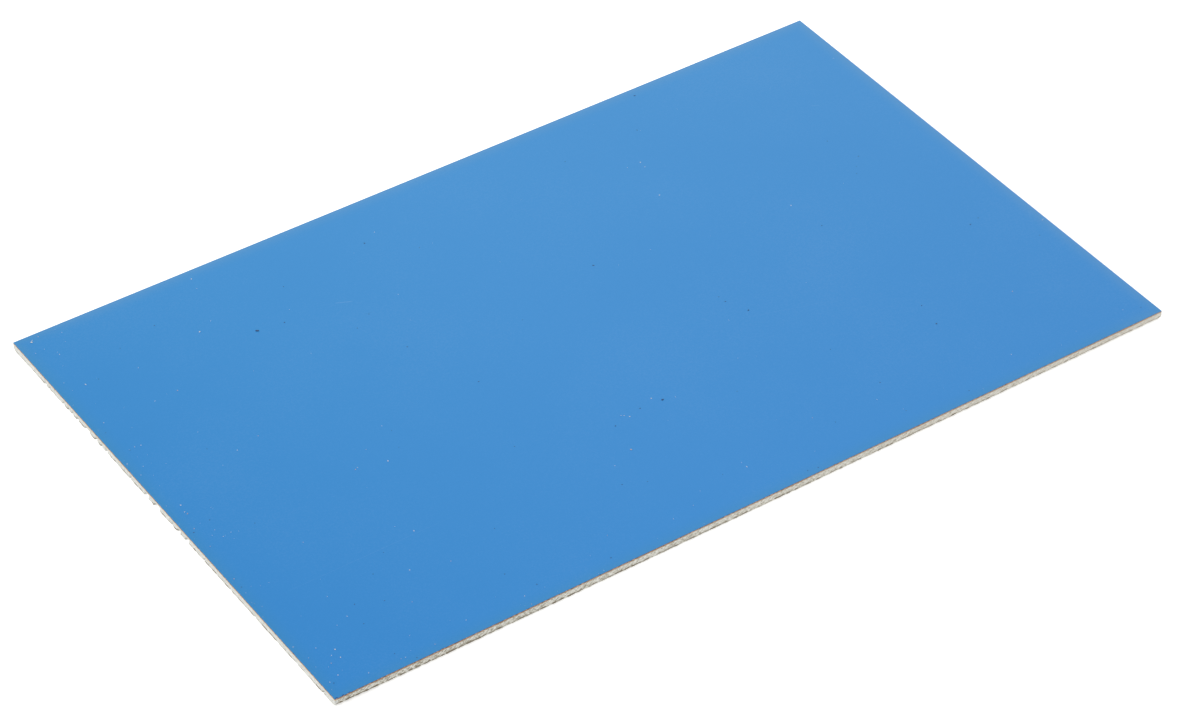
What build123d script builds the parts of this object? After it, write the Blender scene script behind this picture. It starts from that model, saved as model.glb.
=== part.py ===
# A single-sided copper clad board, 160 by 100 mm, sold as raw stock for etched circuits.
# A pressed sheet of glass cloth and epoxy carries one copper foil on its upper face, and a blue
# plastic film is stuck over the copper to keep it clean.
# X runs along the length, Y along the width and Z up. The origin is the middle of the underside.
import os
from random import Random

from build123d import *

# The three layers, from the bottom up. Laminate and foil together make the nominal 1.6 mm.
BOARD_LENGTH = 160.0
BOARD_WIDTH = 100.0
LAMINATE_THICKNESS = 1.565
FOIL_THICKNESS = 0.035
FILM_THICKNESS = 0.06

# The sheared edge. The blade draws the soft copper down over the upper arris, cuts a clean and
# square band as deep as it goes, and tears the rest off, so that the foot of each side leans in.
LIP_DEPTH = 0.10
LIP_WIDTH = 0.03
CUT_DEPTH = 0.765
TORN_SET_IN_FRONT = 0.05
TORN_SET_IN_RIGHT = 0.11
TORN_SET_IN_BACK = 0.10
TORN_SET_IN_LEFT = 0.05
FILM_ARRIS = 0.02

# The shell-shaped chips that the tearing leaves along the lower arris, about one for every two or three
# yarns of the cloth, and the rounder one that each corner loses.
CHIP_PITCH = 2.0
CHIP_WANDER = 0.35
CHIP_CORNER_MARGIN = 2.2
CHIP_WIDTH_LEAST = 1.0
CHIP_WIDTH_MOST = 2.2
CHIP_BITE_LEAST = 0.06
CHIP_BITE_MOST = 0.17
CHIP_SEED = 7
CORNER_CHIP_RADIUS = 2.4
CORNER_CHIP_BITE = 0.16


def corners(front=0.0, right=0.0, back=0.0, left=0.0):
    """The board's corners, anticlockwise from the front left, with each side moved in by its own set-in."""
    x_low, x_high = left - BOARD_LENGTH / 2, BOARD_LENGTH / 2 - right
    y_low, y_high = front - BOARD_WIDTH / 2, BOARD_WIDTH / 2 - back
    return [(x_low, y_low), (x_high, y_low), (x_high, y_high), (x_low, y_high)]


def outline(height, points):
    """A flat face through four corners, at a height above the underside."""
    return Pos(0, 0, height) * make_face(Polyline(*points, close=True))


FULL = corners()
UNDER_LIP = corners(LIP_WIDTH, LIP_WIDTH, LIP_WIDTH, LIP_WIDTH)
UNDERSIDE = corners(TORN_SET_IN_FRONT, TORN_SET_IN_RIGHT, TORN_SET_IN_BACK, TORN_SET_IN_LEFT)


def chip(place, outwards, radius, bite):
    """A sphere that takes a shell that deep out of the solid, at a place on its surface."""
    return Pos(place + outwards.normalized() * (radius - bite)) * Sphere(radius)


def chips():
    """The chips along all four sides, unevenly spaced and biting at 45 degrees, and one at each corner."""
    chance = Random(CHIP_SEED)
    down = Vector(0, 0, -1)
    found = []
    for start, end in zip(UNDERSIDE, UNDERSIDE[1:] + UNDERSIDE[:1]):
        start, end = Vector(*start), Vector(*end)
        length = (end - start).length
        along = (end - start).normalized()
        outwards = along.cross(Vector(0, 0, 1))
        found.append(chip(start, outwards - along + down, CORNER_CHIP_RADIUS, CORNER_CHIP_BITE))
        gaps = int((length - 2 * CHIP_CORNER_MARGIN) / CHIP_PITCH)
        first = (length - gaps * CHIP_PITCH) / 2
        for number in range(gaps + 1):
            width = chance.uniform(CHIP_WIDTH_LEAST, CHIP_WIDTH_MOST)
            bite = chance.uniform(CHIP_BITE_LEAST, CHIP_BITE_MOST)
            radius = (width**2 / 4 + bite**2) / (2 * bite)
            place = first + number * CHIP_PITCH + chance.uniform(-CHIP_WANDER, CHIP_WANDER)
            found.append(chip(start + along * place, outwards + down, radius, bite))
    return found


def laminate():
    """The glass and epoxy sheet: one sheared section, run round all four sides, less the chips."""
    sheet = loft(
        [
            outline(0, UNDERSIDE),
            outline(LAMINATE_THICKNESS - CUT_DEPTH, FULL),
            outline(LAMINATE_THICKNESS - LIP_DEPTH, FULL),
            outline(LAMINATE_THICKNESS, UNDER_LIP),
        ],
        ruled=True,
    )
    return sheet - chips()


def copper_foil(base):
    """The foil, flush with the cut band all round, its edge drawn down over the laminate's arris."""
    slab = extrude(outline(LAMINATE_THICKNESS - LIP_DEPTH, FULL), LIP_DEPTH + FOIL_THICKNESS)
    return slab - base


def protective_film():
    """The blue film, sheared flush with the foil and pressed thinner along its upper arris."""
    sheet = extrude(outline(LAMINATE_THICKNESS + FOIL_THICKNESS, FULL), FILM_THICKNESS)
    return chamfer(sheet.faces().sort_by(Axis.Z)[-1].edges(), FILM_ARRIS)


base = laminate()
os.makedirs("parts", exist_ok=True)
export_step(base, "parts/laminate.step")
export_step(copper_foil(base), "parts/copper_foil.step")
export_step(protective_film(), "parts/protective_film.step")
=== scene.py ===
import math
import random

import bmesh
import bpy
from mathutils import Matrix, Vector, noise
from mathutils.bvhtree import BVHTree


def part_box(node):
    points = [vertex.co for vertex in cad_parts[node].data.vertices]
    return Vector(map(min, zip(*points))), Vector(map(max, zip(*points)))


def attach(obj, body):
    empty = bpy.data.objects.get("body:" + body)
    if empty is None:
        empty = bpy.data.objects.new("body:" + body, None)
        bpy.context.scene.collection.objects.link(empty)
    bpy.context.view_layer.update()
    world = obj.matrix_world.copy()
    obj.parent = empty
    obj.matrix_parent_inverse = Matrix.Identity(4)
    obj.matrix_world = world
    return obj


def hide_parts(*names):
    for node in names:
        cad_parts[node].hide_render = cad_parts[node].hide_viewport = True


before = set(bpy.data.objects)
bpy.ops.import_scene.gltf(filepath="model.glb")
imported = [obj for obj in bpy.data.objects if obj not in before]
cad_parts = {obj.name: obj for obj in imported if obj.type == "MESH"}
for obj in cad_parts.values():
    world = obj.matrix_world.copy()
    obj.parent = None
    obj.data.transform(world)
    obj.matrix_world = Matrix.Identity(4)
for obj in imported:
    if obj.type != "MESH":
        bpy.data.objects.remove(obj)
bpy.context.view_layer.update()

# Laminate. Eight plies of woven glass cloth, pressed with epoxy into one stiff sheet. A guillotine cuts
# it to size: the upper half of each side is a clean cut, and below that the plies are torn off, with dark
# scars just over the foot, further back towards both ends of the front, and with notches in the left side.
# The scars' darkness is partly the torn glass's own colour and partly painted shade: the shade down in
# the break and on the floor just beneath it is painted into the laminate's colour.
MM = 0.001
laminate_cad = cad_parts["laminate"]
laminate_low, laminate_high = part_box("laminate")
side_lengths = [laminate_high.x - laminate_low.x, laminate_high.y - laminate_low.y] * 2
INWARDS = (Vector((0, 1, 0)), Vector((-1, 0, 0)), Vector((0, -1, 0)), Vector((1, 0, 0)))
PLIES = 8
ply_height = laminate_high.z / PLIES
YARN_PITCH_LENGTHWISE = 0.82 * MM
YARN_PITCH_CROSSWISE = 0.58 * MM
LEVEL_TOLERANCE = 0.001 * MM
SHARP_ANGLE = math.radians(35)
COLUMN_SPACING = 0.16 * MM
ROW_SPACING_TORN = 0.042 * MM
ROW_SPACING_CUT = 0.080 * MM
CUT_ROUGHNESS = 0.006 * MM
CUT_FOOT_WANDER = 0.14 * MM
TORN_FADE = 0.10 * MM
CUT_FADE = 0.03 * MM
LEDGE_DEPTH = 0.016 * MM
TUFT_DEPTH = 0.012 * MM
CORNER_QUIET = 0.4 * MM
SCAR_TOP = 0.42 * MM
SCAR_WANDER = 0.08 * MM
SCAR_EDGE = 0.04 * MM
SCAR_LIFT = 0.9
SCAR_THICKNESS = 0.18 * MM
SCAR_PALER_UNDER = 0.55
SCAR_BITE_SHARE = 0.3
SCAR_END_WITHIN, SCAR_END_BEYOND = 0.15, 0.20
SCAR_FADES_FROM, SCAR_GONE_FROM = 0.15 * MM, 0.40 * MM
NOTCH_FOOT = 0.80 * MM
NOTCH_TOP = 1.05 * MM
NOTCH_FLANK = 0.12 * MM
NOTCH_WANDER = 0.12 * MM
NOTCH_LEAN = 0.45
RAGGED_FROM, RAGGED_FULLY_FROM = -12, 0
WEAR_AT_ENDS = 0.15 * MM
WEAR_LEAST_AT = -12 * MM
WEAR_AT_NEAR_CORNER = 0.20 * MM
NEAR_CORNER_LENGTH = 16 * MM
WEAR_TOP = 0.5 * MM
WEAR_REACH = 3.0 * MM
LEFT_BAND = 0.6
BURNISH_HEIGHT = 0.26
# These have one value each for the front, the right, the back and the left side.
CHIP_SHARE = (0.4, 1.0, 1.0, 0.25)
TORN_SHARE = (1.0, 1.0, 1.0, 0.1)
SCAR_LEAN = (0.06, 0.12, 0.12, 0.0)
SCAR_FAINT = (0.50, 0.45, 0.45, 0.32)
RAG_DEPTH = (0.0, 0.10 * MM, 0.10 * MM, 0.05 * MM)
# The scars along the two sides in view: the place of each along X or Y, half its length and its darkness,
# which is partly painted shade of the break and of the floor beneath it.
FRONT_SCAR_SHADES = (
    (-78.9, 0.3, 0.70), (-77.4, 0.7, 0.90), (-75.9, 0.5, 0.80), (-74.6, 0.6, 0.90), (-73.1, 0.7, 0.95),
    (-71.6, 0.2, 0.50), (-70.3, 0.4, 0.65), (-68.2, 0.4, 0.95), (-66.7, 0.4, 0.80), (-65.4, 0.5, 0.70),
    (-63.7, 0.5, 0.85), (-61.0, 0.3, 0.90), (-59.4, 0.9, 0.95), (-57.8, 0.4, 0.70), (-56.0, 0.8, 0.95),
    (-54.6, 0.5, 0.70), (-53.4, 0.3, 0.60), (-52.3, 0.5, 0.60), (-50.8, 0.6, 0.75), (-46.5, 0.3, 0.70),
    (-45.4, 0.6, 0.50), (-42.8, 0.5, 0.85), (-40.8, 0.4, 0.80), (-39.5, 0.4, 0.65), (-37.6, 0.7, 0.95),
    (-36.1, 0.5, 0.50), (-33.4, 0.6, 0.50), (-30.6, 0.5, 0.40), (-28.8, 0.7, 0.75), (-27.3, 0.4, 0.90),
    (-25.6, 0.9, 0.65), (-23.6, 0.5, 0.65), (-19.1, 0.4, 0.60), (-18.0, 0.3, 0.65), (-14.9, 0.4, 0.50),
    (-13.1, 0.5, 0.50), (-11.0, 0.5, 0.75), (-9.8, 0.4, 0.65), (-8.6, 0.6, 0.50), (-6.6, 0.4, 0.65),
    (-4.9, 0.6, 0.65), (1.9, 1.0, 0.85), (3.6, 0.4, 0.70), (5.2, 0.3, 0.70), (7.4, 0.5, 0.60),
    (9.5, 0.4, 0.60), (12.6, 0.5, 0.50), (13.9, 0.3, 0.55), (21.6, 0.3, 0.65), (23.1, 0.3, 0.60),
    (24.0, 0.3, 0.70), (26.4, 0.4, 0.50), (27.5, 0.4, 0.60), (33.6, 0.5, 0.50), (36.6, 0.5, 0.85),
    (39.3, 0.4, 0.70), (41.3, 0.4, 0.45), (43.7, 0.4, 0.65), (46.7, 0.5, 0.50), (57.1, 0.3, 0.50),
    (61.0, 0.3, 0.50), (65.7, 0.6, 0.45), (70.4, 0.6, 0.35), (75.7, 0.4, 0.35),
)
LEFT_SCAR_SHADES = (
    (-46.2, 0.3, 0.30), (-45.1, 0.6, 0.80), (-43.2, 0.3, 0.40), (-37.2, 0.4, 0.60), (-35.6, 0.4, 0.40),
    (-32.6, 0.5, 0.60), (-31.4, 0.5, 0.80), (-29.6, 0.8, 0.70), (-25.5, 0.7, 0.45), (-22.5, 1.0, 0.35),
    (-20.3, 0.3, 0.45), (-18.3, 0.5, 0.65), (-14.6, 0.6, 0.55), (-12.5, 0.5, 0.65), (-8.6, 0.3, 1.00),
    (-2.8, 0.5, 0.75), (0.9, 0.6, 0.55), (4.4, 0.3, 0.90), (8.2, 0.5, 0.55), (9.7, 0.5, 0.50),
    (13.3, 0.5, 0.45), (16.7, 0.4, 0.50), (17.8, 0.4, 0.40), (21.3, 0.3, 0.50), (23.2, 0.4, 0.65),
    (27.2, 0.6, 0.80), (29.4, 0.4, 0.50), (32.2, 0.4, 0.45), (40.1, 0.3, 0.50), (41.0, 0.5, 0.35),
)
# The notches in the left side: the place of each along Y, its width and its depth.
NOTCHES = (
    (-46.6, 0.3, 0.25), (-38.7, 1.4, 0.05), (-26.8, 0.5, 0.10), (-19.6, 0.6, 0.04), (-11.5, 0.3, 0.25),
    (-6.3, 1.0, 0.48), (-3.7, 0.8, 0.46), (-1.6, 0.3, 0.35), (3.1, 1.7, 0.52), (6.4, 1.2, 0.46),
    (11.5, 0.3, 0.25), (19.2, 0.6, 0.30), (20.8, 0.3, 0.30), (22.6, 0.7, 0.36), (25.5, 1.5, 0.28),
    (28.6, 0.6, 0.28), (30.4, 0.4, 0.25), (31.6, 0.4, 0.15), (33.3, 0.5, 0.25), (37.9, 0.4, 0.15),
    (39.4, 0.6, 0.20),
)


def sheared_levels():
    """The height of each bend in the sheared section, and its rectangle: x low, y low, x high, y high."""
    points = [v.co for v in laminate_cad.data.vertices]
    band = [p for p in points if p.x > laminate_high.x - LEVEL_TOLERANCE]
    levels = []
    for height in (laminate_low.z, min(p.z for p in band), max(p.z for p in band), laminate_high.z):
        level = [p for p in points if abs(p.z - height) < LEVEL_TOLERANCE]
        x, y = [p.x for p in level], [p.y for p in level]
        levels.append((height, min(x), min(y), max(x), max(y)))
    return levels


LEVELS = sheared_levels()
cut_foot = LEVELS[1][0]
lip_foot = LEVELS[2][0]


def rectangle_at(height):
    """The sheared section's rectangle at any height, straight between the levels."""
    for below, above in zip(LEVELS, LEVELS[1:]):
        if height <= above[0]:
            share = (height - below[0]) / (above[0] - below[0])
            return [b + (a - b) * share for b, a in zip(below[1:], above[1:])]
    return LEVELS[-1][1:]


def rim(rectangle, height=0.0):
    """Places round a rectangle: for each, its side, the distance along it, the place and the way inwards."""
    x_low, y_low, x_high, y_high = rectangle
    places = ((x_low, y_low), (x_high, y_low), (x_high, y_high), (x_low, y_high))
    corners = [Vector((x, y, height)) for x, y in places]
    for side, length in enumerate(side_lengths):
        count = round(length / COLUMN_SPACING)
        for n in range(count):
            inward = INWARDS[side] if n else INWARDS[side] + INWARDS[side - 1]
            yield side, length * n / count, corners[side].lerp(corners[(side + 1) % 4], n / count), inward


def smooth_step(low, high, value):
    """0 below low, 1 above high, and a soft rise between them."""
    share = min(1.0, max(0.0, (value - low) / (high - low)))
    return share * share * (3 - 2 * share)


def ripple(side, along, height, length, rise):
    """Smooth noise from about -1 to 1, with patches of that length along the side and rise up it."""
    return noise.noise(Vector((along / length, height / rise, 37.7 * side + 3.1)))


def place_along(side, along):
    """A place on a side, in mm along X or Y."""
    start = (laminate_low.x, laminate_low.y, laminate_high.x, laminate_high.y)[side]
    return (start + (along if side < 2 else -along)) / MM


def torn_back(x):
    """How far the front's foot is torn back there, more so towards its two ends and the near corner."""
    near = max(0.0, 1 - (x - laminate_low.x) / NEAR_CORNER_LENGTH)
    return WEAR_AT_ENDS * ((x - WEAR_LEAST_AT) / laminate_high.x) ** 2 + WEAR_AT_NEAR_CORNER * near**2


def wear(place):
    """The move along Y by which a place on the rim lies back for that."""
    reach = max(0.0, 1 - (place.y - laminate_low.y) / WEAR_REACH)
    return Vector((0, torn_back(place.x) * reach * (1 - smooth_step(0, WEAR_TOP, place.z)), 0))


def scar(side, along):
    """The break along the foot at a place: how high the scar's upper edge lies there, and how dark it is
    painted, partly its own colour and partly the shade in the break.
    """
    at = place_along(side, along)
    dark = SCAR_FAINT[side] * smooth_step(-0.35, 0.45, ripple(side, along, 61 * MM, 0.9 * MM, MM))
    for place, reach, darkness in (FRONT_SCAR_SHADES, (), (), LEFT_SCAR_SHADES)[side]:
        end = smooth_step(reach - SCAR_END_WITHIN, reach + SCAR_END_BEYOND, abs(at - place))
        dark = max(dark, darkness * (1 - end))
    top = SCAR_TOP + SCAR_WANDER * ripple(side, along, 67 * MM, 1.1 * MM, MM)
    return top + (SCAR_LIFT * torn_back(laminate_low.x + along) if side == 0 else 0.0), dark


def notch(side, along, height):
    """How deep the torn foot is broken away at a place: the listed notches, and a finer raggedness."""
    at = place_along(side, along) + NOTCH_LEAN * (height - NOTCH_FOOT / 2) / MM
    deepest = RAG_DEPTH[side] * smooth_step(0.05, 0.45, ripple(side, along, 17 * MM, 0.9 * MM, MM))
    if side == 3:
        deepest *= smooth_step(RAGGED_FROM, RAGGED_FULLY_FROM, at)
        for place, width, depth in NOTCHES:
            aside = abs(at - place) * MM + NOTCH_WANDER * ripple(side, along, 53 * MM, 0.4 * MM, MM)
            flank = 1 - smooth_step(width / 2 * MM - NOTCH_FLANK / 2, width / 2 * MM + NOTCH_FLANK / 2, aside)
            deepest = max(deepest, depth * MM * flank)
    return deepest


def tear(side, along, height, bite, crest, darkness):
    """How far the broken surface lies behind the sheared section, and how dark it is painted down in the
    break: partly its own colour, partly painted shade.
    """
    foot = cut_foot + CUT_FOOT_WANDER * ripple(side, along, 0, 2.4 * MM, MM)
    torn = TORN_SHARE[side] * (1 - smooth_step(foot - TORN_FADE, foot + CUT_FADE, height))
    ply = int(height / ply_height)
    rough = CUT_ROUGHNESS * (1 + ripple(side, along, height, 0.45 * MM, 0.16 * MM))
    ledge = LEDGE_DEPTH * max(0.0, 1 + 2.5 * ripple(side, along, 9.3 * ply * MM, 1.3 * MM, MM))
    tuft = TUFT_DEPTH * (1 + ripple(side, along, height + 5 * MM, 0.30 * MM, 0.11 * MM))
    below = crest + SCAR_BITE_SHARE * bite - height
    under = smooth_step(SCAR_THICKNESS, SCAR_THICKNESS + 2 * SCAR_EDGE, below)
    dark = darkness * smooth_step(0, SCAR_EDGE, below) * (1 - SCAR_PALER_UNDER * under)
    broken = notch(side, along, height) if height < NOTCH_TOP else 0.0
    gone = broken * (1 - smooth_step(NOTCH_FOOT, NOTCH_TOP, height))
    depth = rough + torn * (ledge + tuft) + max(SCAR_LEAN[side] * max(0.0, below), gone)
    return depth, dark * (1 - smooth_step(SCAR_FADES_FROM, SCAR_GONE_FROM, broken))


def rim_heights():
    """The heights of the rim's rows, from the underside up, closest together where the edge is torn."""
    torn_rows = round(cut_foot / ROW_SPACING_TORN)
    cut_rows = round((lip_foot - cut_foot) / ROW_SPACING_CUT)
    heights = [cut_foot * n / torn_rows for n in range(torn_rows)]
    heights += [cut_foot + (lip_foot - cut_foot) * n / cut_rows for n in range(cut_rows)]
    return heights + [lip_foot, laminate_high.z]


def laminate_rings():
    """The rings of the rim from the underside up, and how dark each point of them is painted where it is
    torn, for its own colour and the shade in the break.
    """
    tree = BVHTree.FromObject(laminate_cad, bpy.context.evaluated_depsgraph_get())
    scars = [scar(side, along) for side, along, *_ in rim(LEVELS[0][1:])]
    rings, shades, bites = [], [], []
    for height in rim_heights():
        probe_height = min(max(height, LEVEL_TOLERANCE), laminate_high.z - LEVEL_TOLERANCE)
        ring = []
        for n, (side, along, place, inward) in enumerate(rim(rectangle_at(height), height)):
            straight = inward.normalized()
            probe = Vector((place.x, place.y, probe_height)) - straight * MM
            reached = tree.ray_cast(probe, straight, 2 * MM)[3]
            bite = max(0.0, reached - MM) / inward.length * CHIP_SHARE[side] if reached is not None else 0.0
            if not rings:
                bites.append(bite)
            quiet = smooth_step(0, CORNER_QUIET, min(along, side_lengths[side] - along))
            depth, dark = tear(side, along, height, bites[n], *scars[n])
            ring.append(place + wear(place) + inward * (bite + (depth * quiet if height < lip_foot else 0.0)))
            shades.append(dark * (0.4 + 0.6 * quiet))
        rings.append(ring)
    return rings, shades


def closed_mesh(name, rings):
    """The closed mesh of a sheet, whose rim runs through these rings of points from its lower face up."""
    around = len(rings[0])
    faces = []
    for row in range(len(rings) - 1):
        for n in range(around):
            here, there = row * around + n, row * around + (n + 1) % around
            faces.append((here, there, there + around, here + around))
    top = (len(rings) - 1) * around
    faces.append(tuple(range(around - 1, -1, -1)))
    faces.append(tuple(range(top, top + around)))
    mesh = bpy.data.meshes.new(name)
    mesh.from_pydata([tuple(point) for ring in rings for point in ring], [], faces)
    return mesh


def as_piece(name, mesh, *materials):
    """A piece of the board, riding on its one body, with smooth shading broken at its sharp edges."""
    piece = bpy.data.objects.new(name, mesh)
    bpy.context.scene.collection.objects.link(piece)
    for material in materials:
        mesh.materials.append(material)
    mesh.shade_smooth()
    mesh.set_sharp_from_angle(angle=SHARP_ANGLE)
    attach(piece, "root")
    return piece


def as_sheet(name, rings, *materials):
    """A piece made of such rings, whose lower and upper faces are shaded dead flat."""
    piece = as_piece(name, closed_mesh(name, rings), *materials)
    for face in piece.data.polygons[-2:]:
        face.use_smooth = False
    return piece


class Wire:
    """One socket of a material. Arithmetic on it adds Math nodes, and node() adds any other node."""

    def __init__(self, tree, socket=None):
        self.tree, self.socket = tree, socket

    def node(self, kind, settings={}, sockets={}, out=0):
        """Adds a node: its settings first, then values or wires for its sockets, by name or number."""
        made = self.tree.nodes.new(kind)
        for name, value in settings.items():
            if name == "stops":
                for _ in value[2:]:
                    made.color_ramp.elements.new(1.0)
                for stop, (position, colour) in zip(made.color_ramp.elements, value):
                    stop.position, stop.color = position, colour
            else:
                setattr(made, name, value)
        for name, value in sockets.items():
            if isinstance(value, Wire):
                self.tree.links.new(value.socket, made.inputs[name])
            else:
                made.inputs[name].default_value = value
        return Wire(self.tree, made.outputs[out] if made.outputs else None)

    def other(self, name):
        """Another output of the same node."""
        return Wire(self.tree, self.socket.node.outputs[name])

    def maths(self, operation, *values, clamp=False):
        """One operation of a Math node, on values or wires."""
        settings = {"operation": operation, "use_clamp": clamp}
        return self.node("ShaderNodeMath", settings, dict(enumerate(values)))

    def __add__(self, other):
        return self.maths("ADD", self, other)

    def __radd__(self, other):
        return self.maths("ADD", other, self)

    def __sub__(self, other):
        return self.maths("SUBTRACT", self, other)

    def __rsub__(self, other):
        return self.maths("SUBTRACT", other, self)

    def __mul__(self, other):
        return self.maths("MULTIPLY", self, other)

    def __rmul__(self, other):
        return self.maths("MULTIPLY", other, self)

    def __truediv__(self, other):
        return self.maths("DIVIDE", self, other)

    def clamped(self):
        """The same, held between 0 and 1."""
        return self.maths("ADD", self, 0.0, clamp=True)

    def mix(self, low, high):
        """The colour low where this mask is 0, and high where it is 1."""
        return self.node("ShaderNodeMix", {"data_type": "RGBA"}, {0: self, 6: low, 7: high}, out=2)

    def ramp(self, *stops):
        """The colour that these stops give, each a place from 0 to 1 and its colour."""
        return self.node("ShaderNodeValToRGB", {"stops": stops}, {0: self})

    def noise(self, scale, detail=2.0, roughness=0.5):
        """Noise from 0 to 1 at these coordinates, with patches 1 / scale across."""
        return self.node(
            "ShaderNodeTexNoise",
            {"normalize": True},
            {"Vector": self, "Scale": scale, "Detail": detail, "Roughness": roughness},
        )

    def stretched(self, *factors):
        """These coordinates, multiplied along each axis."""
        return self.node("ShaderNodeVectorMath", {"operation": "MULTIPLY"}, {0: self, 1: factors})


def new_material(name):
    """An empty material, and its coordinates in millimetres in the board's own frame."""
    material = bpy.data.materials.new(name)
    material.use_nodes = True
    material.node_tree.nodes.clear()
    place = Wire(material.node_tree).node("ShaderNodeTexCoord", out="Object")
    return material, place.stretched(1 / MM, 1 / MM, 1 / MM)


def close_material(place, **sockets):
    """Gives the material its Principled surface. A name's underscores stand for spaces."""
    surface = place.node("ShaderNodeBsdfPrincipled", {}, {k.replace("_", " "): v for k, v in sockets.items()})
    place.node("ShaderNodeOutputMaterial", {}, {"Surface": surface})


def screen_colour(red, green, blue):
    """A colour as read off a screen, 0 to 255, in the linear values that a shader takes."""
    screen = (red / 255, green / 255, blue / 255)
    return (*(c / 12.92 if c <= 0.04045 else ((c + 0.055) / 1.055) ** 2.4 for c in screen), 1.0)


def sheared_glass_epoxy():
    """Cream, mottled and slantwise streaked by the cut yarns, coppery by the foil; olive-brown in the scars,
    partly their own colour and partly painted shade of the break and the floor below; painted paler on the
    left side, as painted light.
    """
    material, place = new_material("sheared_glass_epoxy")
    split = place.node("ShaderNodeSeparateXYZ", {}, {0: place})
    along, height = split + split.other("Y"), split.other("Z")
    # The "torn" attribute is the darkness of the scars: painted shade of the break and the floor below it,
    # over the torn glass's own darker colour.
    torn = place.node("ShaderNodeAttribute", {"attribute_name": "torn"}, out="Fac")
    left = ((laminate_low.x / MM + LEFT_BAND - split) * 10.0).clamped()
    rightward = ((split + 40.0) / 120.0).clamped()
    calm = left.maths("MAXIMUM", left * 0.5, rightward * 0.4)
    worn = ((-25.0 - split) / 55.0).clamped() * (1 - left)
    fibres = place.stretched(1, 1, 2.0).noise(5.0)
    patches = place.stretched(1, 1, 1.3).noise(2.0, detail=3.0, roughness=0.65)
    streaks = []
    for lean, pitch in ((-0.9, 0.36), (1.1, 0.46)):
        sheared = {0: (along + height * lean) / pitch, 1: height * 0.8, 2: lean}
        streaks.append(place.node("ShaderNodeCombineXYZ", {}, sheared).noise(1.0))
    ply = height / (ply_height / MM)
    from_seam = ply.maths("PINGPONG", ply, 0.5)
    glass = patches * 2.0 + streaks[0] * 1.5 + streaks[1] * 1.3 + fibres * 1.3 + from_seam * 0.16 - 3.09
    body = (glass * (1.15 + worn * 0.3 - calm) + 0.54 - worn * 0.16).clamped().ramp(
        (0.0, screen_colour(158, 151, 133)),
        (0.30, screen_colour(203, 201, 188)),
        (0.62, screen_colour(223, 221, 210)),
        (1.0, screen_colour(243, 243, 236)),
    )
    yellowed = (rightward * 0.3).mix(body, screen_colour(226, 214, 198))
    resin = (place.noise(1.1) * 9.0 - 6.1).clamped() * 0.8
    # Painted light: the left side, which the key lamp lights hardest, is paled a fifth of the way to bluish
    # white.
    tinted = resin.mix((left * 0.2).mix(yellowed, screen_colour(214, 223, 234)), screen_colour(156, 152, 112))
    burnish = ((height - (lip_foot / MM - BURNISH_HEIGHT)) / BURNISH_HEIGHT).clamped()
    smear = patches * 1.2 + place.noise(0.16) * 1.8 + worn * 0.3 - 0.75
    # The copper smear: its own colour on the front, and painted much lighter on the left side, a lit copy of
    # it.
    copper_smear_and_painted_light = left.mix(screen_colour(158, 110, 70), screen_colour(206, 174, 116))
    rubbed = (burnish * smear.clamped() * 0.95).mix(tinted, copper_smear_and_painted_light)
    # Painted shade: depth mixes in the shadow colour where the scars lie, stronger on the left side, which
    # the key lamp lights harder.
    depth = (torn * (1.65 + left * 0.35) - 0.10 + (fibres - 0.5) * 0.6).clamped()
    shadow = fibres.mix(screen_colour(74, 60, 38), screen_colour(130, 112, 82))
    colour = (depth * 0.95).mix(rubbed, shadow)
    relief = patches * 0.6 + fibres * 0.3 + streaks[0] * 0.4
    normal = place.node("ShaderNodeBump", {}, {"Strength": 0.5, "Distance": 0.03 * MM, "Height": relief})
    close_material(place, Base_Color=colour, Roughness=0.72, Normal=normal)
    return material


def pressed_glass_epoxy():
    """The bare face: the weave shows through clear resin, over the copper's warm back."""
    material, place = new_material("pressed_glass_epoxy")
    split = place.node("ShaderNodeSeparateXYZ", {}, {0: place})
    warp = split * (math.pi / (YARN_PITCH_CROSSWISE / MM))
    weft = split.other("Y") * (math.pi / (YARN_PITCH_LENGTHWISE / MM))
    over = (warp.maths("SINE", warp) * weft.maths("SINE", weft) * 3.0 + 0.5).clamped()
    warp_round = warp.maths("ABSOLUTE", warp.maths("SINE", warp))
    weft_round = weft.maths("ABSOLUTE", weft.maths("SINE", weft))
    knuckle = over * warp_round + (1 - over) * weft_round
    cloud = place.noise(0.12, detail=3.0)
    glass = (knuckle * 0.9).mix(screen_colour(168, 158, 112), screen_colour(196, 190, 150))
    colour = (cloud * 0.35).mix(glass, screen_colour(178, 160, 118))
    normal = place.node("ShaderNodeBump", {}, {"Strength": 0.35, "Distance": 0.02 * MM, "Height": knuckle})
    close_material(place, Base_Color=colour, Roughness=0.34, Normal=normal)
    return material


sheet_rings, sheet_shades = laminate_rings()
laminate = as_sheet("laminate_sheet", sheet_rings, sheared_glass_epoxy(), pressed_glass_epoxy())
# Each point's painted shade of the break, with the scars' own darker colour, goes to the shader as "torn".
laminate.data.attributes.new("torn", "FLOAT", "POINT").data.foreach_set("value", sheet_shades)
for face in laminate.data.polygons[-2:]:
    face.material_index = 1
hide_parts("laminate")

# Copper foil. A 35 micrometre foil is bonded to the laminate's upper face. The blade smears its soft edge
# down over the laminate's arris, so that a thin, beaded copper line shows all round under the film.
foil_low, foil_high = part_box("copper_foil")
foil_seat = laminate_high.z
SMEAR_LEAST = 0.80
SMEAR_PATCH = 0.5 * MM
FOIL_ROUGHNESS = 0.006 * MM
FOIL_TUCK = 0.03 * MM
FOIL_FOOT_INSET = 0.002 * MM
FOIL_FACE_INSET = 0.004 * MM
DUSTED_FROM = -20.0


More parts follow.
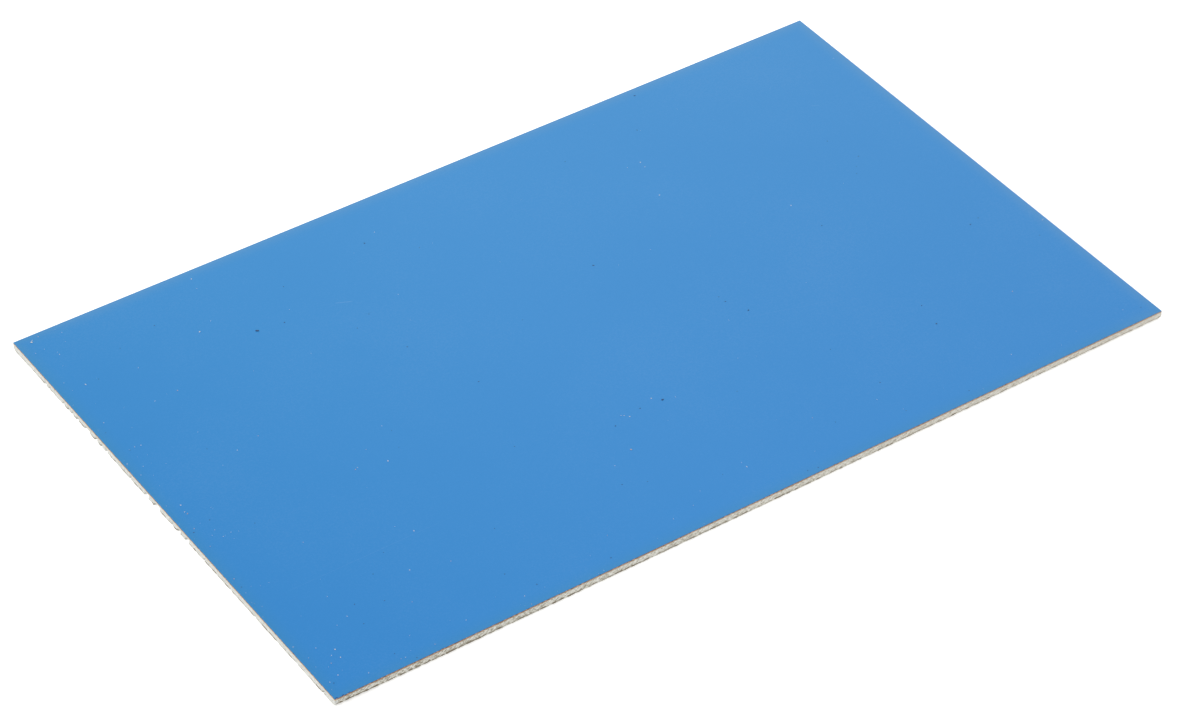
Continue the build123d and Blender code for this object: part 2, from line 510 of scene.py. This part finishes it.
def foil_rings():
    """The foil's rings: its seat on the laminate, its smeared foot, its edge and its face."""
    seat_inset = foil_high.x - LEVELS[-1][3]
    rings = [[], [], [], []]
    for side, along, place, inward in rim((foil_low.x, foil_low.y, foil_high.x, foil_high.y)):
        short = 0.7 * ripple(side, along, 21 * MM, SMEAR_PATCH, MM)
        long = 0.3 * ripple(side, along, 27 * MM, 2 * MM, MM)
        drawn = SMEAR_LEAST + (1 - SMEAR_LEAST) * min(1.0, max(0.0, 0.5 + short + long))
        dent = FOIL_ROUGHNESS * (1 + ripple(side, along, 33 * MM, 0.4 * MM, MM))
        foot = foil_seat - (foil_seat - lip_foot) * drawn
        rings[0].append(place + inward * seat_inset + Vector((0, 0, foil_seat)))
        rings[1].append(place + inward * FOIL_FOOT_INSET + Vector((0, 0, foot)))
        rings[2].append(place + inward * dent + Vector((0, 0, foil_seat - FOIL_TUCK)))
        rings[3].append(place + inward * FOIL_FACE_INSET + Vector((0, 0, foil_high.z)))
    return rings


def sheared_copper():
    """Dull copper, beaded brown and orange by the yarns beneath, and dustier towards the right."""
    material, place = new_material("sheared_copper")
    beads = place.noise(1.9, detail=2.0, roughness=0.6)
    beaded = (beads * 5.0 - 2.1).clamped().mix(screen_colour(92, 66, 42), screen_colour(206, 152, 104))
    split = place.node("ShaderNodeSeparateXYZ", {}, {0: place})
    dusted = ((split - DUSTED_FROM) / (foil_high.x / MM - DUSTED_FROM)).clamped() * 0.6
    colour = dusted.mix(beaded, screen_colour(170, 146, 124))
    dull = place.stretched(1, 1, 6).noise(8.0, detail=2.0)
    normal = place.node("ShaderNodeBump", {}, {"Strength": 0.4, "Distance": 0.01 * MM, "Height": dull})
    close_material(place, Base_Color=colour, Metallic=0.3, Roughness=dull * 0.2 + 0.46, Normal=normal)
    return material


foil = as_sheet("copper_foil_sheet", foil_rings(), sheared_copper())
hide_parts("copper_foil")

# Protective film. A blue polyethylene film is rolled on over the copper and sheared with it. It lies flat
# and matte, with handling scratches, and it is nicked in a few places where the blade dragged it. Its colour
# holds painted light, and painted shade in small nicks at its front edge by the near corner.
film_low, film_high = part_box("protective_film")
FILM_ARRIS = 0.02 * MM
# These two have one value each for the front, the right, the back and the left side.
FILM_SET_BACK = (0.016 * MM, 0.0, 0.0, 0.016 * MM)
FILM_EDGE_WANDER = (0.006 * MM, 0.0, 0.0, 0.008 * MM)
RIM_WIDTH = 3.2
NICK_LENGTH = 0.30 * MM
NICK_DEPTH = 0.07 * MM
NICKS = ((-61.0, 0), (-32.4, 0), (12.6, 0), (47.2, 0), (-38.2, 3), (11.5, 3))
SCRATCHES_AND_NICK_SHADE = (
    ((-31.4, 28.9), (-28.6, 27.6), 0.10, 0.30),
    ((-75.0, -26.1), (-43.3, -26.1), 0.08, 0.07),
    ((-29.0, 23.7), (-27.4, 23.4), 0.12, -0.25),
    ((66.0, 28.3), (67.6, 27.2), 0.14, 0.10),
    ((-12.0, 41.0), (3.5, 36.6), 0.07, 0.05),
    ((20.5, -12.0), (38.0, -17.5), 0.07, 0.05),
    # The last three are painted shade, not scratches: the shade in small nicks at the film's front edge by
    # the near corner.
    ((-79.9, -49.86), (-79.4, -49.86), 0.22, -2.0),
    ((-78.7, -49.90), (-78.3, -49.90), 0.18, -2.0),
    ((-77.6, -49.92), (-77.2, -49.92), 0.14, -1.4),
)


def film_rings():
    """The film's rings, from its seat to its face, with the edge that was sheared and the nicks in it."""
    levels = (
        (0.0, film_low.z),
        (0.0, film_high.z - FILM_ARRIS),
        (FILM_ARRIS * 0.4, film_high.z - FILM_ARRIS * 0.35),
        (FILM_ARRIS, film_high.z),
    )
    rings = [[] for _ in levels]
    for side, along, place, inward in rim((film_low.x, film_low.y, film_high.x, film_high.y)):
        level = place.x if side % 2 == 0 else place.y
        aside = [abs(level - at * MM) for at, where in NICKS if where == side]
        nicked = sum(1 - smooth_step(0, NICK_LENGTH, distance) for distance in aside)
        edge = FILM_SET_BACK[side] + NICK_DEPTH * nicked
        edge += FILM_EDGE_WANDER[side] * ripple(side, along, 41 * MM, 0.6 * MM, MM)
        for ring, (inset, height) in zip(rings, levels):
            ring.append(place + inward * (edge + inset) + Vector((0, 0, height)))
    return rings


def scratch(x, y, start, end, width):
    """1 on the line from start to end, fading to 0 half a width away and towards its ends."""
    run_x, run_y = end[0] - start[0], end[1] - start[1]
    length = math.hypot(run_x, run_y)
    forward = ((x - start[0]) * (run_x / length) + (y - start[1]) * (run_y / length)) / length
    aside = (x - start[0]) * (run_y / length) - (y - start[1]) * (run_x / length)
    near = (1 - aside.maths("ABSOLUTE", aside) / (width / 2)).clamped()
    within = (forward * (1 - forward) * 8.0).clamped()
    return near * within


def blue_film():
    """Polyethylene, dyed blue: softly matte, very slightly clouded, with scratches and a fine bloom; painted
    light makes the blue brightest a little left of the middle and darkest at the left end, and painted shade
    darkens the nicks by the near corner.
    """
    material, place = new_material("blue_film")
    split = place.node("ShaderNodeSeparateXYZ", {}, {0: place})
    x, y = split, split.other("Y")
    half_length, half_width = film_high.x / MM, film_high.y / MM
    cloud = place.noise(0.035, detail=3.0) - 0.5
    speckle = place.noise(3.2, detail=2.0, roughness=0.7) - 0.5
    marks = speckle * 0.085 + cloud * 0.05
    for start, end, width, strength in SCRATCHES_AND_NICK_SHADE:
        marks = marks + scratch(x, y, start, end, width) * strength
    lighter = marks.clamped()
    darker = (0 - marks).clamped()
    # Painted light: the dye is darkest at the left end, brightest a little left of the middle and a touch
    # greener towards the back, where the lamps light and veil the film most.
    dye_and_painted_light_rows = []
    for painted_sheen_green in (0, 4):
        dye_and_painted_light_rows.append(
            (x / (2 * half_length) + 0.5).ramp(
                (0.0, screen_colour(27, 127 + painted_sheen_green, 199)),
                (0.22, screen_colour(36, 131 + painted_sheen_green, 202)),
                (0.47, screen_colour(41, 133 + painted_sheen_green, 204)),
                (1.0, screen_colour(36, 131 + painted_sheen_green, 202)),
            )
        )
    dye_and_painted_light = (y / (2 * half_width) + 0.5).clamped().mix(*dye_and_painted_light_rows)
    # Within RIM_WIDTH mm of the edges the blue turns a little greyer: green-grey at the near edges, pale grey
    # at the far ones.
    past_ends, past_sides = x.maths("ABSOLUTE", x) - half_length, y.maths("ABSOLUTE", y) - half_width
    rim_nearness = (x.maths("MAXIMUM", past_ends, past_sides) / RIM_WIDTH + 1.0).clamped()
    far = ((x / half_length + y / half_width) * 4.0 + 0.5).clamped()
    rim_dye = far.mix(screen_colour(62, 130, 108), screen_colour(150, 172, 160))
    dyed = (rim_nearness * rim_nearness * 0.15).mix(dye_and_painted_light, rim_dye)
    base = lighter.mix(dyed, screen_colour(200, 220, 235))
    # Marks below 0 darken towards deep blue: darker speckle, a dark scratch, and the painted shade of the
    # nicks.
    colour = darker.mix(base, screen_colour(10, 60, 120))
    peel = place.noise(0.9, detail=2.0) + place.noise(14.0, detail=2.0) * 0.25
    normal = place.node("ShaderNodeBump", {}, {"Strength": 0.12, "Distance": 0.02 * MM, "Height": peel})
    gloss = 0.40 + (place.noise(0.2, detail=2.0) - 0.5) * 0.10
    close_material(place, Base_Color=colour, Roughness=gloss, Specular_IOR_Level=0.3, Normal=normal)
    return material


film = as_sheet("protective_film_sheet", film_rings(), blue_film())
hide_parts("protective_film")

# Dust and painted shade. Shearing sheds grains of glass and resin and slivers of copper, which lie scattered
# on the film, most of them by the left side. Flat dark blue grains here and there are painted shade: they
# stand for the shade of small bumps and dents in the film.
# These give the place of each grain along X and Y, and its size.
GLASS_GRAINS = (
    (-77.5, 48.3, 0.30), (-77.2, 48.7, 0.14), (-72.2, 47.7, 0.11), (-78.3, 45.4, 0.10), (-76.6, 45.6, 0.09),
    (-75.2, 43.0, 0.14), (-75.2, 43.7, 0.09), (-78.1, 36.3, 0.10), (-75.4, 34.0, 0.21), (-66.3, 32.8, 0.11),
    (-50.6, 36.5, 0.10), (-48.2, 45.1, 0.10), (-47.7, 47.8, 0.19), (-53.5, 35.1, 0.24), (-15.9, 41.2, 0.13),
    (-77.6, 24.1, 0.14), (-68.2, 24.1, 0.14), (-76.4, 16.2, 0.12), (-75.4, 16.0, 0.15), (-79.4, 13.3, 0.13),
    (-77.6, 11.4, 0.09), (-78.9, 9.8, 0.11), (-63.4, 6.3, 0.13), (-77.3, 0.1, 0.19), (-77.6, -1.6, 0.14),
    (-75.8, -7.8, 0.09), (-76.8, -8.7, 0.08), (-74.0, -9.7, 0.11), (-75.5, -9.9, 0.12), (-49.9, -8.0, 0.12),
    (-45.1, -9.4, 0.20), (-41.4, -1.7, 0.11), (-50.5, -25.5, 0.17), (-52.4, -23.0, 0.09),
    (-55.8, -32.6, 0.15), (-69.3, -30.5, 0.10), (-69.1, -35.9, 0.13), (-71.4, -36.7, 0.10),
    (-79.3, -37.0, 0.12), (-76.6, -39.1, 0.10), (-78.6, -40.3, 0.10), (-75.5, -41.8, 0.11),
    (-74.4, -41.0, 0.20), (-74.6, -42.9, 0.17), (-76.9, -45.9, 0.15), (-78.7, -46.5, 0.14),
    (-72.9, -48.1, 0.12), (-66.6, -48.4, 0.11), (-54.7, -46.8, 0.12), (-44.5, -47.4, 0.14),
    (-21.5, 24.9, 0.11), (-8.5, -21.2, 0.13), (-8.1, -21.5, 0.14), (-7.5, -22.2, 0.17), (-2.1, -20.5, 0.18),
    (-16.2, -30.6, 0.10), (-15.8, -46.0, 0.11), (-11.4, -45.2, 0.09), (-31.3, -49.5, 0.10),
    (0.8, -42.6, 0.18), (0.7, -41.3, 0.09), (1.3, -22.4, 0.11), (32.2, 31.7, 0.18), (32.1, 30.2, 0.14),
    (29.5, 31.7, 0.10), (29.6, 22.3, 0.18), (19.8, 11.0, 0.10), (46.4, 7.3, 0.17), (27.6, -41.3, 0.12),
    (29.7, -45.5, 0.08), (52.5, -44.7, 0.13), (79.2, -20.0, 0.18),
)
COPPER_GRAINS = (
    (-75.9, 49.0, 0.13), (-63.9, 24.3, 0.15), (-58.9, 7.4, 0.13), (-77.4, -2.2, 0.18), (-78.3, -5.8, 0.13),
    (-78.3, -10.7, 0.10), (-66.0, -18.0, 0.10), (-50.4, -8.2, 0.15), (-46.5, -5.1, 0.09),
    (-49.5, -34.5, 0.12), (-76.4, -43.2, 0.13), (-61.4, -48.5, 0.12), (-67.3, -48.3, 0.10),
    (-59.3, -38.8, 0.11), (-44.6, -49.5, 0.12), (-26.4, -43.3, 0.09), (-11.9, -28.9, 0.24),
    (16.4, -39.0, 0.11), (62.9, -32.1, 0.14), (66.0, 49.4, 0.12), (-79.0, -19.1, 0.14),
)
SHADE_DOT_GRAINS = (
    (-45.6, 30.0, 0.52), (-40.8, 29.3, 0.24), (-18.9, 39.6, 0.28), (-36.1, 37.4, 0.18), (-58.8, 40.7, 0.20),
    (9.5, 12.9, 0.32), (-0.8, -21.8, 0.40), (-5.0, -21.5, 0.22), (-22.7, -1.3, 0.24), (22.1, -7.3, 0.23),
    (21.9, -5.7, 0.17), (23.9, -11.3, 0.30), (47.4, -0.1, 0.22), (68.3, -14.1, 0.29), (70.5, -13.4, 0.19),
    (48.2, -26.5, 0.22), (47.3, -31.6, 0.31), (30.6, -38.2, 0.20), (64.2, 11.8, 0.20), (62.4, 18.3, 0.18),
    (62.2, 9.7, 0.14), (61.0, 8.1, 0.14), (42.4, 48.1, 0.30), (37.0, 39.6, 0.22), (-44.3, -41.6, 0.19),
    (-41.5, -46.3, 0.20), (-78.8, -6.5, 0.22), (-78.3, -47.0, 0.19), (-39.9, -32.1, 0.16),
    (-17.8, -34.9, 0.20), (21.6, 39.2, 0.18), (-27.5, 12.6, 0.21), (-31.7, 21.3, 0.18), (-28.2, 23.3, 0.16),
    (-8.2, 7.7, 0.14), (-11.9, 33.4, 0.15), (-26.7, -17.8, 0.17), (-10.7, -22.8, 0.21),
    (-14.1, -36.6, 0.15), (-28.8, -47.8, 0.20), (-3.4, -41.9, 0.13), (-75.3, -5.4, 0.18),
    (-77.4, 15.9, 0.15), (-78.5, 21.8, 0.13), (-67.2, 9.3, 0.14), (-79.0, -21.3, 0.18),
    (-69.9, -10.0, 0.15), (-66.8, -34.3, 0.19), (-62.6, -36.2, 0.18), (-60.9, -30.2, 0.18),
    (-67.9, -38.7, 0.17), (-67.5, -46.8, 0.19), (-65.2, -49.4, 0.17), (-57.0, -27.0, 0.14),
    (-41.9, -7.6, 0.12), (-40.7, -3.5, 0.13), (-73.0, 34.0, 0.16), (-66.3, 38.8, 0.14), (10.3, -26.9, 0.15),
    (29.0, -27.0, 0.16), (18.8, -41.9, 0.15), (29.8, -46.1, 0.14), (8.2, -48.7, 0.17), (10.0, -49.1, 0.18),
    (41.2, -47.9, 0.17), (77.7, -47.4, 0.15), (76.1, -23.0, 0.16),
)
FINE_DUST_LEFT, LEFT_REACH = 40, 7
FINE_DUST_FRONT, FRONT_REACH = 20, 5
FINE_DUST_ANYWHERE = 40
CROWDING = 1.6
FINE_DUST_SIZES = (0.04, 0.08)
GRAIN_SUNK = 0.004 * MM
GRAIN_RAGGEDNESS = 0.45
GRAIN_SLIMMEST = 0.7
GRAIN_FLATNESS = 0.28
SHADE_GRAIN_FLATNESS = 0.12
chance = random.Random(11)


def grains(name, places, flatness, material):
    """One mesh of small broken grains, each lying on the film at its place and of its size, in mm."""
    made = bmesh.new()
    for x, y, size in places:
        seed = Vector((x, y, 0)) * 3.7
        grown = bmesh.ops.create_icosphere(made, subdivisions=2, radius=size * MM / 2)["verts"]
        turn = Matrix.Rotation(chance.uniform(0, math.tau), 3, "Z")
        stretch = chance.uniform(GRAIN_SLIMMEST, 1.0)
        for vert in grown:
            vert.co *= 1 + GRAIN_RAGGEDNESS * noise.noise(vert.co / (size * MM) * 2.6 + seed)
            vert.co = turn @ Vector((vert.co.x / stretch, vert.co.y * stretch, vert.co.z * flatness))
        lowest = min(vert.co.z for vert in grown)
        seat = Vector((x * MM, y * MM, film_high.z - lowest - GRAIN_SUNK))
        for vert in grown:
            vert.co += seat
    mesh = bpy.data.meshes.new(name)
    made.to_mesh(mesh)
    made.free()
    return as_piece(name, mesh, material)


def grain_material(name, low, high, roughness):
    """Broken grains, each mottled between two colours."""
    material, place = new_material(name)
    mottle = place.noise(7.0, detail=2.0)
    close_material(place, Base_Color=(mottle * 1.6 - 0.3).clamped().mix(low, high), Roughness=roughness)
    return material


fine_dust = []
for _ in range(FINE_DUST_LEFT):
    fine_dust.append((-79.7 + LEFT_REACH * chance.random() ** CROWDING, chance.uniform(-49.5, 49.5)))
for _ in range(FINE_DUST_FRONT):
    fine_dust.append((chance.uniform(-79.5, 79.5), -49.7 + FRONT_REACH * chance.random() ** CROWDING))
for _ in range(FINE_DUST_ANYWHERE):
    fine_dust.append((chance.uniform(-79, 79), chance.uniform(-49, 49)))
glass_dust = grains(
    "glass_dust",
    [*GLASS_GRAINS, *((x, y, chance.uniform(*FINE_DUST_SIZES)) for x, y in fine_dust)],
    GRAIN_FLATNESS,
    grain_material("broken_glass_epoxy", screen_colour(196, 192, 180), screen_colour(240, 238, 232), 0.6),
)
copper_slivers = grains(
    "copper_slivers",
    COPPER_GRAINS,
    GRAIN_FLATNESS,
    grain_material("copper_slivers", screen_colour(176, 128, 92), screen_colour(232, 198, 164), 0.6),
)
# Painted shade: flat dark blue grains, in place of the shade of small bumps and dents in the film.
painted_shade_grains = grains(
    "painted_shade_grains",
    SHADE_DOT_GRAINS,
    SHADE_GRAIN_FLATNESS,
    grain_material("painted_shade_grains", screen_colour(10, 46, 88), screen_colour(30, 82, 134), 0.7),
)

# Floor. A white table top that the board lies on, wide enough to fill every view. Seen by the camera it is
# a little lighter than it is lit, so that it runs into the white room and keeps only the nearest shadow.
FLOOR_HALF = 4.0
FLOOR_DROP = 0.01 * MM
FLOOR_LIFT = 0.38
floor_mesh = bpy.data.meshes.new("floor")
floor_corners = [(x * FLOOR_HALF, y * FLOOR_HALF, -FLOOR_DROP) for x in (-1, 1) for y in (-x, x)]
floor_mesh.from_pydata(floor_corners, [], [(0, 1, 2, 3)])
floor = bpy.data.objects.new("floor", floor_mesh)
bpy.context.scene.collection.objects.link(floor)
floor_material, floor_place = new_material("white_floor")
floor_rays = floor_place.node("ShaderNodeLightPath", out="Is Camera Ray")
floor_glanced = floor_rays.other("Is Glossy Ray") + floor_rays.other("Is Transmission Ray")
floor_seen = (floor_rays + floor_glanced).clamped()
close_material(
    floor_place,
    Base_Color=(0.95, 0.95, 0.95, 1),
    Roughness=0.9,
    Specular_IOR_Level=0.0,
    Emission_Color=floor_seen.mix((0, 0, 0, 1), (1, 1, 1, 1)),
    Emission_Strength=FLOOR_LIFT,
)
floor_mesh.materials.append(floor_material)

# Light. A white room, one large soft lamp at the upper left, and a long low one behind, whose reflection
# veils the far side of the film.
WORLD_STRENGTH = 0.75
world = bpy.data.worlds.new("white_room")
bpy.context.scene.world = world
world.use_nodes = True
world.node_tree.nodes.clear()
room = Wire(world.node_tree)
rays = room.node("ShaderNodeLightPath", out="Is Camera Ray")
seen = (rays + rays.other("Is Glossy Ray") + rays.other("Is Transmission Ray")).clamped()
strength = WORLD_STRENGTH + seen * (1 - WORLD_STRENGTH)
white = room.node("ShaderNodeBackground", {}, {"Color": (1, 1, 1, 1), "Strength": strength})
room.node("ShaderNodeOutputWorld", {}, {"Surface": white})


def soft_lamp(name, place, size, power):
    """A rectangular area lamp, aimed at the middle of the board."""
    light = bpy.data.lights.new(name, "AREA")
    light.shape, light.size, light.size_y, light.energy = "RECTANGLE", size[0], size[1], power
    lamp = bpy.data.objects.new(name, light)
    lamp.location = place
    lamp.rotation_mode = "QUATERNION"
    lamp.rotation_quaternion = (-Vector(place)).to_track_quat("-Z", "Y")
    bpy.context.scene.collection.objects.link(lamp)


soft_lamp("key_lamp", (-1.1, 0.1, 1.2), (1.0, 1.0), 8.0)
soft_lamp("back_lamp", (0.95, 1.25, 0.42), (1.6, 0.5), 7.0)

# Camera. A long lens, level, from the front left and about 40 degrees up, as in the photograph.
CAMERA_PLACE = Vector((-293.03, -429.52, 432.53)) * MM
CAMERA_TARGET = Vector((-3.41 * MM, -7.84 * MM, film_high.z))
CAMERA_LENS = 123.44
SENSOR_WIDTH = 36.0
camera_data = bpy.data.cameras.new("camera")
camera_data.lens, camera_data.sensor_width = CAMERA_LENS, SENSOR_WIDTH
camera_data.clip_start, camera_data.clip_end = 0.01, 50.0
camera = bpy.data.objects.new("camera", camera_data)
camera.location = CAMERA_PLACE
camera.rotation_mode = "QUATERNION"
camera.rotation_quaternion = (CAMERA_TARGET - CAMERA_PLACE).to_track_quat("-Z", "Y")
bpy.context.scene.collection.objects.link(camera)
bpy.context.scene.camera = camera
bpy.context.scene.view_settings.view_transform = "Standard"
